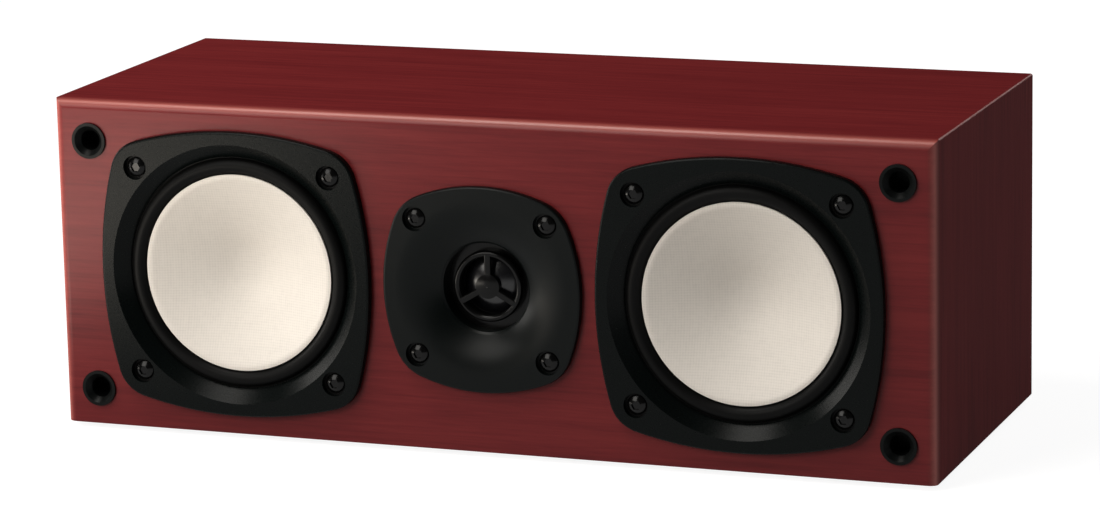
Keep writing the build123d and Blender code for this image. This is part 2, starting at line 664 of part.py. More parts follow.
def tweeter_plate():
    """Moulded plate whose face flares smoothly into a horn, with a throat and a hub behind."""
    outline = bowed_square(TWEETER_HALF, PLATE_BOW_RADIUS, PLATE_CORNER_RADIUS)
    face = plate(outline, -PLATE_PROUD, 0)
    face = fillet(face.edges().group_by(Axis.Y)[0], PLATE_EDGE_RADIUS)
    inner_depth = HORN_DEPTH - PLATE_PROUD
    face += ring(0, TWEETER_HOLE - HOLE_GAP, 0, inner_depth + HORN_WALL)
    face += ring(0, PLATE_HUB_RADIUS, 0, PLATE_HUB_BACK)
    horn = TangentArc((HORN_OUTER, -PLATE_PROUD), (HORN_INNER, inner_depth), tangent=(-1, 0))
    throat = Polyline(
        (HORN_INNER, inner_depth),
        (THROAT_RADIUS, inner_depth + THROAT_EDGE),
        (THROAT_RADIUS, THROAT_FLOOR),
        (GUARD_OUTER, THROAT_FLOOR),
        (GUARD_OUTER, PLATE_HUB_BACK),
        (0, PLATE_HUB_BACK),
        (0, -PLATE_PROUD),
        (HORN_OUTER, -PLATE_PROUD),
    )
    face -= revolve(make_face([horn, throat]), Axis.Y)
    head = SCREW_HEAD_RADIUS + SCREW_COUNTERBORE_GAP
    face -= at_corners(ring(0, head, -PLATE_PROUD, TWEETER_SCREW_SEAT), TWEETER_SCREW)
    shank = SCREW_SHANK_RADIUS + ASSEMBLY_GAP
    return face - at_corners(ring(0, shank, TWEETER_SCREW_SEAT, 0), TWEETER_SCREW)


def phase_guard():
    """Insert seated in the throat: base ring, round-topped ring, spokes and a crowned hub."""
    front = GUARD_FRONT
    back = front + GUARD_SPOKE_HEIGHT
    round_top = GUARD_RING_WIDTH / 2
    middle = GUARD_INNER + round_top
    base = ring(GUARD_INNER, THROAT_RADIUS - GLUE_GAP, THROAT_FLOOR - GUARD_BASE_HEIGHT, THROAT_FLOOR)
    wall = ring(GUARD_INNER, GUARD_OUTER, front + round_top, THROAT_FLOOR)
    bead = revolve(Pos(middle, front + round_top) * Circle(round_top), Axis.Y)
    section = Pos(0, (front + back) / 2) * Rectangle(GUARD_SPOKE_WIDTH, GUARD_SPOKE_HEIGHT)
    section = fillet(section.vertices().group_by(Axis.Y)[0], GUARD_SPOKE_EDGE)
    spoke = extrude(section, amount=middle)
    spokes = [spoke.rotate(Axis.Y, 360 / GUARD_SPOKES * k) for k in range(GUARD_SPOKES)]
    crown = crown_arc(GUARD_HUB_RADIUS, front, front - GUARD_HUB_CROWN)
    sides = Polyline(
        (GUARD_HUB_RADIUS, front), (GUARD_HUB_RADIUS, back), (0, back), (0, front - GUARD_HUB_CROWN)
    )
    return base + wall + bead + spokes + revolve(make_face([crown, sides]), Axis.Y)


def dome():
    """Thin spherical cap, its rim level with the suspension."""
    rim = PLATE_HUB_BACK
    half = DOME_RADIUS / 2
    sphere = (DOME_RADIUS**2 + DOME_HEIGHT**2) / (2 * DOME_HEIGHT)
    rise = DOME_HEIGHT - sphere + sqrt(sphere**2 - half**2)
    faces = []
    for depth in (rim - DOME_WALL, rim):
        faces.append(
            ThreePointArc((DOME_RADIUS, depth), (half, depth - rise), (0, depth - DOME_HEIGHT))
        )
    edge = Line((DOME_RADIUS, rim - DOME_WALL), (DOME_RADIUS, rim))
    axis = Line((0, rim - DOME_WALL - DOME_HEIGHT), (0, rim - DOME_HEIGHT))
    return revolve(make_face([faces[0], faces[1], edge, axis]), Axis.Y)


def suspension():
    """Cloth ring round the dome: a small half roll and a land clamped behind the plate."""
    inner = DOME_RADIUS + GLUE_GAP
    outer = PLATE_HUB_RADIUS
    centre = inner + SUSPENSION_ROLL
    land = Pos((inner + outer) / 2, PLATE_HUB_BACK + SUSPENSION_WALL / 2)
    section = land * Rectangle(outer - inner, SUSPENSION_WALL)
    section = half_roll(section, centre, SUSPENSION_BACK, SUSPENSION_ROLL, SUSPENSION_WALL)
    return revolve(section, Axis.Y)


def tweeter():
    """Pieces of the tweeter about its own axis, depths from the baffle's front."""
    coil_inner = DOME_RADIUS - DOME_COIL_WALL
    coil_back = PLATE_HUB_BACK + DOME_COIL_LENGTH
    plate_radius = DOME_PLATE_RADIUS
    magnet_bore = DOME_GAP_RADIUS + DOME_MAGNET_BORE_GAP
    pole_front = SUSPENSION_BACK + DOME_COIL_GAP
    return {
        "plate": tweeter_plate(),
        "phase_guard": phase_guard(),
        "dome": dome(),
        "suspension": suspension(),
        "voice_coil": ring(coil_inner, DOME_RADIUS, PLATE_HUB_BACK, coil_back),
        "top_plate": ring(DOME_GAP_RADIUS, plate_radius, SUSPENSION_BACK, DOME_PLATE_BACK),
        "magnet": ring(magnet_bore, DOME_MAGNET_RADIUS, DOME_PLATE_BACK, DOME_MAGNET_BACK),
        "yoke": yoke(DOME_POLE_RADIUS, pole_front, plate_radius, DOME_MAGNET_BACK, DOME_YOKE_BACK),
        "shield_can": can(DOME_MAGNET_RADIUS + DOME_CAN_GAP, SUSPENSION_BACK, DOME_YOKE_BACK),
        "screws": Part() + at_corners(screw(TWEETER_SCREW_SEAT, SCREW_LENGTH), TWEETER_SCREW),
    }


# Rear: port and spring terminal


def port_tube():
    """Bass port: a tube with a flared mouth in a round flange on the back."""
    outer = PORT_RADIUS + PORT_WALL
    rim = BACK_FACE + PORT_FLANGE_HEIGHT
    flare = ThreePointArc(
        (PORT_RADIUS, rim - PORT_FLARE),
        (PORT_RADIUS + PORT_FLARE * (1 - sqrt(0.5)), rim - PORT_FLARE * (1 - sqrt(0.5))),
        (PORT_RADIUS + PORT_FLARE, rim),
    )
    rest = Polyline(
        (PORT_RADIUS + PORT_FLARE, rim),
        (outer + PORT_FLANGE_WIDTH, rim),
        (outer + PORT_FLANGE_WIDTH, BACK_FACE),
        (outer, BACK_FACE),
        (outer, BACK_FACE - PORT_LENGTH),
        (PORT_RADIUS, BACK_FACE - PORT_LENGTH),
        (PORT_RADIUS, rim - PORT_FLARE),
    )
    section = make_face([flare, rest])
    rim_corner = section.vertices().group_by(Axis.X)[-1].sort_by(Axis.Y)[-1]
    section = fillet(rim_corner, PORT_EDGE_RADIUS)
    return Pos(0, 0, AXIS_HEIGHT) * revolve(section, Axis.Y)


def terminal_place():
    """Place of the terminal cup's middle on the back face."""
    return Pos(TERMINAL_OFFSET, BACK_FACE, AXIS_HEIGHT)


def cup_outline(grow):
    """Outline of the cup's pocket in the front plane, grown all round."""
    return RectangleRounded(CUP_WIDTH + 2 * grow, CUP_HEIGHT + 2 * grow, CUP_CORNER_RADIUS + grow)


def cup_screw_places():
    """Places of the cup's four screws on its flange."""
    middle = CUP_WALL / 2 + CUP_FLANGE_WIDTH / 2
    return corners(CUP_WIDTH / 2 - CUP_CORNER_RADIUS, CUP_HEIGHT / 2 + middle)


def lever_places():
    """Distances across the cup of the two levers' middles."""
    pitch = LEVER_WIDTH + 2 * LEVER_SIDE_GAP + EAR_THICKNESS
    return (-pitch / 2, pitch / 2)


def hinge_depth():
    """Height of the levers' hinge over the back face; negative lies inside the cup."""
    return CUP_FLANGE_HEIGHT - CUP_DEPTH + LEVER_HINGE_HEIGHT


def terminal_cup():
    """Moulded cup with a flange, three hinge ears and two wire holes in its floor."""
    face = CUP_FLANGE_HEIGHT
    floor = face - CUP_DEPTH
    cup = plate(cup_outline(CUP_FLANGE_WIDTH), 0, face)
    cup = fillet(cup.edges().group_by(Axis.Y)[-1], CUP_EDGE_RADIUS)
    cup += plate(cup_outline(CUP_WALL), floor - CUP_FLOOR, face)
    cup -= plate(cup_outline(0), floor, face)
    for x in (-1, 0, 1):
        cup += Pos(x * (lever_places()[1] * 2), 0, 0) * hinge_ear(floor)
    for x in lever_places():
        cup -= Pos(x, 0, -WIRE_HOLE_DROP) * ring(0, WIRE_HOLE_RADIUS, floor - CUP_FLOOR, floor)
        cup -= Pos(x, 0, contact_rise()) * contact_slot(floor)
    hole = ring(0, CUP_SCREW_RADIUS + ASSEMBLY_GAP, 0, face)
    cup -= [Pos(x, 0, z) * hole for x, z in cup_screw_places()]
    return terminal_place() * cup


def hinge_ear(floor):
    """Ear standing on the cup's floor with a hole for the levers' pins."""
    axis = (hinge_depth(), LEVER_HINGE_RISE)
    post = make_face(
        Polyline(
            (floor, axis[1] - EAR_RADIUS),
            (axis[0], axis[1] - EAR_RADIUS),
            (axis[0], axis[1] + EAR_RADIUS),
            (floor, axis[1] + EAR_RADIUS),
            close=True,
        )
    )
    ear = post + Pos(*axis) * Circle(EAR_RADIUS)
    ear -= Pos(*axis) * Circle(LEVER_PIN_RADIUS + LEVER_PIN_GAP)
    return extrude(Plane.YZ * ear, amount=EAR_THICKNESS / 2, both=True)


def terminal_lever():
    """Spring lever: a hub with two pins and a leaning thumb tab with a turned-out lip."""
    axis = (hinge_depth(), LEVER_HINGE_RISE)
    arm = Pos(0, -LEVER_LENGTH / 2) * Rectangle(LEVER_THICKNESS, LEVER_LENGTH)
    lip = Pos(LEVER_TAB_LIP / 2, LEVER_THICKNESS / 2 - LEVER_LENGTH)
    arm += lip * Rectangle(LEVER_THICKNESS + LEVER_TAB_LIP, LEVER_THICKNESS)
    side = Pos(*axis) * (Circle(LEVER_HUB_RADIUS) + arm.rotate(Axis.Z, LEVER_LEAN))
    lever = extrude(Plane.YZ * side, amount=LEVER_WIDTH / 2, both=True)
    pin = Plane.YZ * Pos(*axis) * Circle(LEVER_PIN_RADIUS)
    reach = LEVER_WIDTH / 2 + LEVER_SIDE_GAP + EAR_THICKNESS / 2 - LEVER_PIN_GAP
    return lever + extrude(pin, amount=reach, both=True)


def contact_rise():
    """Height over the cup's middle where a contact passes through the floor."""
    return LEVER_HINGE_RISE - EAR_RADIUS - CONTACT_THICKNESS


def contact_slot(floor):
    """Slot in the cup's floor for a contact's tail."""
    gap = 2 * GLUE_GAP
    return plate(Rectangle(CONTACT_WIDTH + gap, CONTACT_THICKNESS + gap), floor - CUP_FLOOR, floor)


def terminal_contact():
    """Bent contact: a leaf on the cup's floor and a tail through it to the inside."""
    floor = CUP_FLANGE_HEIGHT - CUP_DEPTH
    rise = contact_rise()
    top = rise + CONTACT_THICKNESS / 2
    leaf = Pos(0, 0, top - CONTACT_LEAF / 2) * plate(
        Rectangle(CONTACT_WIDTH, CONTACT_LEAF), floor, floor + CONTACT_THICKNESS
    )
    tail_end = floor - CUP_FLOOR - CONTACT_TAIL
    tail = plate(Rectangle(CONTACT_WIDTH, CONTACT_THICKNESS), tail_end, floor)
    return leaf + Pos(0, 0, rise) * tail


def cup_screw():
    """Round-head screw of the terminal cup with a cross recess, driven in from behind the speaker."""
    face = CUP_FLANGE_HEIGHT
    top = face + CUP_SCREW_HEAD_HEIGHT
    edge = face + CUP_SCREW_HEAD_EDGE
    rest = Polyline(
        (CUP_SCREW_HEAD_RADIUS, edge),
        (CUP_SCREW_HEAD_RADIUS, face),
        (CUP_SCREW_RADIUS, face),
        (CUP_SCREW_RADIUS, face - CUP_SCREW_LENGTH),
        (0, face - CUP_SCREW_LENGTH),
        (0, top),
    )
    blank = revolve(make_face([crown_arc(CUP_SCREW_HEAD_RADIUS, edge, top), rest]), Axis.Y)
    cross = Rectangle(CUP_SCREW_CROSS, CUP_SCREW_CROSS_WIDTH)
    cross += Rectangle(CUP_SCREW_CROSS_WIDTH, CUP_SCREW_CROSS)
    return blank - plate(cross, top - CUP_SCREW_CROSS_DEPTH, top)


def rear_fittings():
    """Port, terminal cup with its levers, contacts and screws."""
    pieces = {"port_tube": port_tube(), "terminal_cup": terminal_cup()}
    for colour, x in zip(("red", "black"), lever_places()):
        pieces[f"{colour}_terminal_lever"] = terminal_place() * Pos(x, 0, 0) * terminal_lever()
        pieces[f"{colour}_terminal_contact"] = terminal_place() * Pos(x, 0, 0) * terminal_contact()
    screws = [Pos(x, 0, z) * cup_screw() for x, z in cup_screw_places()]
    pieces["terminal_screws"] = terminal_place() * (Part() + screws)
    return pieces


# Inside: crossover and damping


def inside_fittings():
    """Crossover board on spacers inside the back panel, and the wadding on the floor."""
    board_back = BACK_INSIDE - SPACER_LENGTH
    board_front = board_back - BOARD_THICKNESS
    place = Pos(-CROSSOVER_OFFSET, 0, AXIS_HEIGHT)
    spots = corners(BOARD_WIDTH / 2 - SPACER_INSET, BOARD_HEIGHT / 2 - SPACER_INSET)
    spacer = ring(0, SPACER_RADIUS, board_back, BACK_INSIDE)
    board = plate(Rectangle(BOARD_WIDTH, BOARD_HEIGHT), board_front, board_back)
    coil_place = Pos(-BOARD_WIDTH / 4, 0, 0)
    flange = INDUCTOR_RADIUS + INDUCTOR_FLANGE
    coil = ring(INDUCTOR_BORE, INDUCTOR_RADIUS, board_front - INDUCTOR_HEIGHT, board_front)
    for end in (board_front - INDUCTOR_HEIGHT, board_front - INDUCTOR_FLANGE):
        coil += ring(INDUCTOR_BORE, flange, end, end + INDUCTOR_FLANGE)
    capacitor = ring(0, CAPACITOR_RADIUS, board_front - CAPACITOR_LENGTH, board_front)
    rows = (-CAPACITOR_PITCH / 2, CAPACITOR_PITCH / 2)
    stack = [Pos(BOARD_WIDTH / 4, 0, z) * capacitor for z in rows]
    pad_width = CABINET_WIDTH - 2 * WALL - 2 * PAD_END_GAP
    pad = Pos(0, BACK_INSIDE - PAD_DEPTH / 2, FOOT_HEIGHT + WALL + PAD_THICKNESS / 2)
    return {
        "crossover_spacers": place * (Part() + [Pos(x, 0, z) * spacer for x, z in spots]),
        "crossover_board": place * board,
        "crossover_inductor": place * coil_place * coil,
        "crossover_capacitors": place * (Part() + stack),
        "damping_pad": pad * Box(pad_width, PAD_DEPTH, PAD_THICKNESS),
    }


def speaker():
    """Every piece of the speaker by name, in its place."""
    pieces = {"front_baffle": front_baffle(), **shell_panels(), "back_panel": back_panel()}
    pieces["foot_pads"] = Part() + foot_pads()
    for side, x in (("left", -SOCKET_OFFSET), ("right", SOCKET_OFFSET)):
        for level, z in (("upper", SOCKET_RISE), ("lower", -SOCKET_RISE)):
            place = Pos(x, BAFFLE_FRONT, AXIS_HEIGHT + z)
            pieces[f"{level}_{side}_grille_socket"] = place * grille_socket()
    driver = woofer()
    for side, x in (("left", -WOOFER_OFFSET), ("right", WOOFER_OFFSET)):
        for name, piece in driver.items():
            pieces[f"{side}_woofer_{name}"] = Pos(x, BAFFLE_FRONT, AXIS_HEIGHT) * piece
    for name, piece in tweeter().items():
        pieces[f"tweeter_{name}"] = Pos(0, BAFFLE_FRONT, AXIS_HEIGHT) * piece
    return {**pieces, **rear_fittings(), **inside_fittings()}


os.makedirs("parts", exist_ok=True)
for node, piece in speaker().items():
    export_step(piece, f"parts/{node}.step")
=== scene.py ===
import json
from math import cos, pi, radians, sin
import bmesh
import bpy
import numpy as np
from mathutils import Matrix, Vector


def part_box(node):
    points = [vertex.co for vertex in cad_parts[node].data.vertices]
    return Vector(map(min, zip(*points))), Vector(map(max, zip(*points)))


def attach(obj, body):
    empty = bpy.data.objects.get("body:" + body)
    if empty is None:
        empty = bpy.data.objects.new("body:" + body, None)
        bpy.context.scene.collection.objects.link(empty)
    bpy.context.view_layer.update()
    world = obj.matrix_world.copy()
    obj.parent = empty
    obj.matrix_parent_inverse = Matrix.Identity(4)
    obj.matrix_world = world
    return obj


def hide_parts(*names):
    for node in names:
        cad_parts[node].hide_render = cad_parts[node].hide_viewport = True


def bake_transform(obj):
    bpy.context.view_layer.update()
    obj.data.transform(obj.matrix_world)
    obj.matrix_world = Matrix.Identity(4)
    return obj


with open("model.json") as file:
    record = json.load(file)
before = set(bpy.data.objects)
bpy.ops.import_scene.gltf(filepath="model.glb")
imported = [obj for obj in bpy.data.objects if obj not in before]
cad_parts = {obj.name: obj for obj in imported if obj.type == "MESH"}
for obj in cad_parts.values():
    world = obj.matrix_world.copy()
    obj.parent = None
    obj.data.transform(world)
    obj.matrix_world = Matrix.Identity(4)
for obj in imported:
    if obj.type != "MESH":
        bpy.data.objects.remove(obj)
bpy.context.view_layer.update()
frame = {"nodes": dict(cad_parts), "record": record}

# Looks of a two-way centre loudspeaker. Sizes are in millimetres in the part's frame, turned to metres by MM.
MM = 0.001
SIDES = ("left", "right")
SLOTS = {part["node"]: part["material_slot"] for part in frame["record"]["subparts"]}

# Sizes of the cones and of the pieces that flex, where the nodes' boxes don't give them
CONE_LIP = 1.2
CONE_SLOPE = 21.0
CONE_BOWL = 26.5
CONE_WALL = 0.8
NECK_INNER = 12.55
NECK_WALL = 0.75
GLUE_GAP = 0.05
ROLL_GAP = 0.3
ROLL_WALL = 0.6
WINDING_LAP = 0.4
SPIDER_INNER_LAND = 0.8
SPIDER_OUTER_LAND = 7.4
SPIDER_WALL = 0.4
SPIDER_WAVES = 5
SUSPENSION_WALL = 0.3
DOME_LAND = 0.1

# Points along the outlines and steps round the axis
TURNS = 192
BOWL_POINTS = 40
FLANK_POINTS = 24
LIP_POINTS = 4
ROLL_POINTS = 48
ROLL_BACK_POINTS = 40
LAND_POINTS = 6
SPIDER_POINTS = 160

# Distances below which outline points, mesh points and edges count as one, and the angle of a sharp edge
SAME_POINT = 1e-6
MERGE_DISTANCE = 1e-7
EMPTY_EDGE = 1e-8
SHARP_ANGLE = 35

# Camera, from the lower middle of the baffle's front
EYE = (522.3, -1337.4, 385.9)
EYE_AZIMUTH = 20.427
EYE_ELEVATION = 12.482
EYE_ROLL = -1.191
LENS = 143.66
SENSOR = 36.0

# Veneer: lacquer on the faces and round the edges, colours of the film at places on the figure's scale
LACQUER = 0.026
EDGE_LACQUER = 0.07
MAHOGANY = (
    (0.34, (0.094, 0.0104, 0.0121)),
    (0.5, (0.131, 0.0144, 0.0160)),
    (0.66, (0.160, 0.0194, 0.0200)),
)
# Paler, warmer film colours painted on rounded edges that don't face down, as a highlight
PAINTED_EDGE_HIGHLIGHT = ((0.34, (0.28, 0.070, 0.058)), (0.66, (0.38, 0.096, 0.080)))
VENEER_ROUGHNESS = (0.6, 0.5)
GRAIN_DEPTH = 0.012

# Grain: bumps in a millimetre across it and along it, and each layer's share of the figure
STREAKS = (0.55, 0.02)
BANDS = (0.06, 0.006)
PORES = (2.2, 0.12)
STREAK_SHARE = 0.5
BAND_SHARE = 0.3
PORE_SHARE = 0.2

# Parts of a surface's direction: the largest one midway round an edge, the fade of the painted edge highlight
# and the thicker lacquer to edges that face down, and the fade to the baffle's ends
MIDWAY = 0.75
DOWNWARD = (-0.3, -0.05)
END_FACING = (0.62, 0.8)

# Plastics and metals: darkest and lightest shade, their places on the marks' scale, spread of the roughness
MARK_STOPS = (0.3, 0.7)
PLASTIC_LEVEL = 0.065
PLASTIC_SHADES = (0.82, 1.18)
PLASTIC_SPREAD = 0.05
METAL_MARKS = (2.4, 0.12)
METAL_SHADES = (0.85, 1.1)
METAL_SPREAD = 0.08

# Weaves: bumps in a millimetre along a thread and in the patches, and each layer's share of the figure
WEAVE_LEVEL = 0.1
WEAVE_STOPS = (0.45, 0.85)
SLUB_LENGTH = 0.07
SLUB_SCALE = 1.3
PATCH = 0.12
THREAD_SHARE = 0.22
SLUB_SHARE = 0.36
PATCH_SHARE = 0.2


class Finish:
    """A procedural finish: one principled shader, fed by textures on the piece's own coordinates."""

    def __init__(self, name, **sockets):
        self.material = bpy.data.materials.new(name)
        self.material.use_nodes = True
        self.tree = self.material.node_tree
        self.shader = self.tree.nodes["Principled BSDF"]
        self.give(**sockets)

    def set(self, node, sockets):
        """Gives each named socket its value, or links it where the value is another node's output."""
        for name, value in sockets.items():
            socket = node.inputs[name.replace("_", " ")] if isinstance(name, str) else node.inputs[name]
            if isinstance(value, bpy.types.NodeSocket):
                self.tree.links.new(value, socket)
            elif socket.type == "RGBA":
                socket.default_value = (*value, 1.0)
            else:
                socket.default_value = value
        return node

    def give(self, **sockets):
        """Sets the shader's own sockets."""
        self.set(self.shader, sockets)

    def node(self, kind, settings=None, **sockets):
        """Adds a node of a kind with its settings and sockets."""
        made = self.tree.nodes.new(kind)
        for name, value in (settings or {}).items():
            setattr(made, name, value)
        return self.set(made, sockets)

    def place(self, scale=(1, 1, 1)):
        """The piece's own coordinates in millimetres, scaled along its axes."""
        there = self.node("ShaderNodeTexCoord").outputs["Object"]
        mapping = self.node("ShaderNodeMapping", Vector=there, Scale=[s / MM for s in scale])
        return mapping.outputs["Vector"]

    def facing(self):
        """The surface's direction, as its parts along X, Y and Z."""
        normal = self.node("ShaderNodeNewGeometry").outputs["Normal"]
        return self.node("ShaderNodeSeparateXYZ", Vector=normal).outputs

    def noise(self, vector, scale=1.0, detail=3.0, rough=0.55, twist=0.0):
        """Soft random clouds."""
        made = self.node("ShaderNodeTexNoise", Vector=vector, Scale=scale, Detail=detail)
        return self.set(made, {"Roughness": rough, "Distortion": twist}).outputs["Fac"]

    def span(self, value, low, high, start=0.0, end=1.0):
        """A value carried from one range to another, held at its ends."""
        made = self.node("ShaderNodeMapRange")
        for index, number in enumerate((value, start, end, low, high)):
            self.set(made, {index: number})
        return made.outputs["Result"]

    def maths(self, work, first, second=0.0):
        """Arithmetic on one or two values."""
        return self.set(self.node("ShaderNodeMath", {"operation": work}), {0: first, 1: second}).outputs[0]

    def weighted(self, *layers):
        """Sum of (value, share) layers, each value times its share."""
        total = 0.0
        for value, share in layers:
            total = self.maths("ADD", total, self.maths("MULTIPLY", value, share))
        return total

    def ramp(self, value, stops):
        """A colour for a value from 0 to 1, blended between (place, colour) stops."""
        made = self.node("ShaderNodeValToRGB", Fac=value)
        band = made.color_ramp
        while len(band.elements) < len(stops):
            band.elements.new(0.5)
        for element, (at, colour) in zip(band.elements, stops):
            element.position = at
            element.color = (*colour, 1.0)
        return made.outputs["Color"]

    def mix(self, share, first, second):
        """Two colours blended by a share."""
        made = self.node("ShaderNodeMix", {"data_type": "RGBA"})
        return self.set(made, {0: share, 6: first, 7: second}).outputs[2]

    def mottle(self, marks, colour, shades, roughness, spread):
        """One colour from a dark to a light shade, and a roughness, both varied by a texture's marks."""
        stops = [(at, tuple(c * shade for c in colour)) for at, shade in zip(MARK_STOPS, shades)]
        self.give(Base_Color=self.ramp(marks, stops))
        self.give(Roughness=self.span(marks, roughness - spread, roughness + spread))

    def relief(self, height, depth):
        """Fine relief of a depth in millimetres."""
        made = self.node("ShaderNodeBump", Height=height, Distance=depth * MM, Strength=1.0)
        self.give(Normal=made.outputs["Normal"])


# Finishes


def drawn_out(across, along, axis):
    """Texture scales along X, Y and Z: one value along the given axis and another across it."""
    scale = [across] * 3
    scale[axis] = along
    return scale


def grain(finish, axis):
    """Figure of a veneer: fine streaks drawn out along one axis, broad soft bands and short pores."""
    streaks = finish.noise(finish.place(drawn_out(*STREAKS, axis)), detail=4.0, rough=0.6, twist=0.3)
    bands = finish.noise(finish.place(drawn_out(*BANDS, axis)), detail=3.0, rough=0.5, twist=0.5)
    pores = finish.noise(finish.place(drawn_out(*PORES, axis)), detail=2.0)
    return finish.weighted((streaks, STREAK_SHARE), (bands, BAND_SHARE), (pores, PORE_SHARE))


def highlight_and_lacquer_edges(finish):
    """Mask of the painted edge highlight and thicker lacquer: 0 on a flat face, 1 midway round an edge that
    doesn't face down.
    """
    facing = finish.facing()
    largest = 0.0
    for axis in "XYZ":
        largest = finish.maths("MAXIMUM", largest, finish.maths("ABSOLUTE", facing[axis]))
    rounded = finish.span(largest, 0.0, 1.0, 1.0, MIDWAY)
    return finish.maths("MULTIPLY", rounded, finish.span(facing["Z"], 0.0, 1.0, *DOWNWARD))


def veneer(name, axis, end_axis=None):
    """Mahogany-coloured veneer film under a thin satin lacquer.

    Its grain runs along one axis, and along another on the ends. On rounded edges that don't face down, the
    lacquer is thicker and a paler, warmer colour is painted on as a highlight.
    """
    finish = Finish(name, Specular_IOR_Level=0.0, Coat_IOR=4.0, Coat_Roughness=0.28)
    figure = grain(finish, axis)
    if end_axis is not None:
        across = finish.maths("ABSOLUTE", finish.facing()["X"])
        share = finish.span(across, 0.0, 1.0, *END_FACING)
        rest = finish.maths("SUBTRACT", 1.0, share)
        figure = finish.weighted((grain(finish, end_axis), share), (figure, rest))
    edge = highlight_and_lacquer_edges(finish)
    # The base colour blends to a painted highlight colour on rounded edges that don't face down
    finish.give(
        Base_Color=finish.mix(edge, finish.ramp(figure, MAHOGANY), finish.ramp(figure, PAINTED_EDGE_HIGHLIGHT)),
        Roughness=finish.span(figure, *VENEER_ROUGHNESS),
        Coat_Weight=finish.span(edge, LACQUER, EDGE_LACQUER),
    )
    finish.relief(figure, GRAIN_DEPTH)
    return finish.material


def moulding(name, colour, roughness, grit=0.012, pitch=2.2, level=PLASTIC_LEVEL):
    """Moulded plastic or paint with an even grit: its depth in millimetres, and its bumps in a millimetre."""
    finish = Finish(name, Specular_IOR_Level=level)
    specks = finish.noise(finish.place(), scale=pitch, detail=2.0)
    finish.mottle(specks, colour, PLASTIC_SHADES, roughness, PLASTIC_SPREAD)
    finish.relief(specks, grit)
    return finish.material


def metal(name, colour, roughness):
    """Plated, drawn or enamelled metal with faint marks along Y."""
    finish = Finish(name, Metallic=1.0)
    marks = finish.noise(finish.place(drawn_out(*METAL_MARKS, 1)), detail=3.0)
    finish.mottle(marks, colour, METAL_SHADES, roughness, METAL_SPREAD)
    return finish.material


def woven(name, colour, pitch, contrast, depth, roughness):
    """Plain weave seen from the front: threads along X and Z, each a little uneven along its length."""
    finish = Finish(name, Roughness=roughness, Specular_IOR_Level=WEAVE_LEVEL)
    there = finish.node("ShaderNodeSeparateXYZ", Vector=finish.place((1 / pitch, 1, 1 / pitch))).outputs
    height = 0.0
    slubs = 0.0
    for axis, stretch in (("X", (1 / pitch, 1, SLUB_LENGTH)), ("Z", (SLUB_LENGTH, 1, 1 / pitch))):
        wave = finish.maths("SINE", finish.maths("MULTIPLY", there[axis], pi))
        height = finish.maths("ADD", height, finish.maths("ABSOLUTE", wave))
        uneven = finish.noise(finish.place(stretch), scale=SLUB_SCALE, detail=2.0)
        slubs = finish.maths("ADD", slubs, uneven)
    patches = finish.noise(finish.place((PATCH, PATCH, PATCH)), detail=4.0)
    figure = finish.weighted((height, THREAD_SHARE), (slubs, SLUB_SHARE), (patches, PATCH_SHARE))
    dark = tuple(c * (1 - contrast) for c in colour)
    finish.give(Base_Color=finish.ramp(figure, tuple(zip(WEAVE_STOPS, (dark, colour)))))
    finish.relief(height, depth)
    return finish.material


FINISHES = {
    "mahogany_veneer": veneer("veneer_lengthways", 0),
    "back_board": moulding("black_back_board", (0.020, 0.019, 0.019), 0.62, grit=0.05, pitch=1.2),
    "foot_rubber": moulding("foot_rubber", (0.012, 0.012, 0.012), 0.7),
    "socket_plastic": moulding("socket_plastic", (0.0035, 0.004, 0.004), 0.34),
    "frame_plastic": moulding("frame_plastic", (0.0014, 0.0023, 0.0022), 0.28),
    "basket_paint": moulding("basket_paint", (0.004, 0.004, 0.004), 0.4),
    "surround_rubber": moulding("surround_rubber", (0.002, 0.002, 0.002), 0.45, grit=0.003),
    "cone_weave": woven("cone_weave", (0.76, 0.71, 0.655), 0.9, 0.12, 0.012, 0.6),
    "copper_winding": metal("copper_winding", (0.55, 0.22, 0.09), 0.35),
    "spider_cloth": woven("spider_cloth", (0.46, 0.27, 0.07), 0.9, 0.3, 0.03, 0.8),
    "plated_steel": metal("plated_steel", (0.48, 0.45, 0.36), 0.35),
    "ferrite": moulding("ferrite", (0.02, 0.02, 0.022), 0.55, grit=0.04),
    "can_steel": metal("can_steel", (0.42, 0.42, 0.42), 0.35),
    "tag_board": moulding("tag_board", (0.13, 0.05, 0.016), 0.6),
    "screw_steel": moulding("screw_steel", (0.002, 0.002, 0.002), 0.17, grit=0.001, level=0.15),
    "horn_plastic": moulding("horn_plastic", (0.0014, 0.0023, 0.0022), 0.33, level=0.095),
    "guard_plastic": moulding("guard_plastic", (0.002, 0.002, 0.002), 0.2, grit=0.001, level=0.12),
    "dome_film": moulding("dome_film", (0.003, 0.003, 0.004), 0.22, grit=0.001, level=0.4),
    "suspension_cloth": woven("suspension_cloth", (0.006, 0.006, 0.006), 0.5, 0.3, 0.01, 0.7),
    "port_plastic": moulding("port_plastic", (0.010, 0.010, 0.010), 0.4, level=0.2),
    "cup_plastic": moulding("cup_plastic", (0.012, 0.012, 0.012), 0.42, level=0.2),
    "lever_red": moulding("lever_red", (0.34, 0.010, 0.010), 0.32, grit=0.006, level=0.3),
    "lever_black": moulding("lever_black", (0.008, 0.008, 0.008), 0.32, grit=0.006, level=0.3),
    "contact_brass": metal("contact_brass", (0.52, 0.33, 0.08), 0.3),
    "spacer_plastic": moulding("spacer_plastic", (0.7, 0.7, 0.62), 0.45),
    "board_laminate": moulding("board_laminate", (0.17, 0.075, 0.02), 0.5),
    "capacitor_sleeve": moulding("capacitor_sleeve", (0.008, 0.016, 0.06), 0.3, grit=0.004),
    "wadding": moulding("wadding", (0.6, 0.6, 0.57), 0.9, grit=0.4, pitch=0.5),
}
SIDE_VENEER = veneer("veneer_upright", 2)
BAFFLE_VENEER = veneer("veneer_baffle", 0, end_axis=2)


